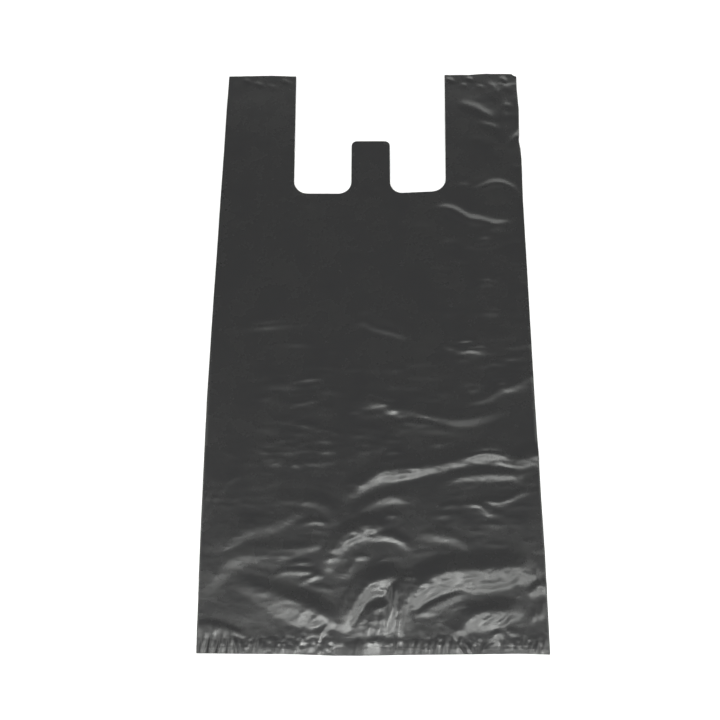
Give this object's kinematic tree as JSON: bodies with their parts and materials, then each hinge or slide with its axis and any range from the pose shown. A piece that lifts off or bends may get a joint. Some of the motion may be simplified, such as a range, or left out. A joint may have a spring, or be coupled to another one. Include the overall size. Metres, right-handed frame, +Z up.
{
  "type": "plastic carrier bag",
  "caption": "Empty vest-style carrier bag of thin black plastic film, lying flat, with side gussets, two loop handles, a tab between them and a heat-sealed, creased bottom.",
  "frame": {"origin": "middle of the underside of the flat bag, on the surface it lies on", "axes": "+X across the bag, +Y along it from the bottom seal to the handles, +Z up out of the front film"},
  "size_m": [0.2836, 0.53, 0.007],
  "materials": {
    "black_film": "thin black polythene film, satin, with fine creases"
  },
  "bodies": {
    "root": {"carrier_bag": "black_film"}
  },
  "joints": []
}
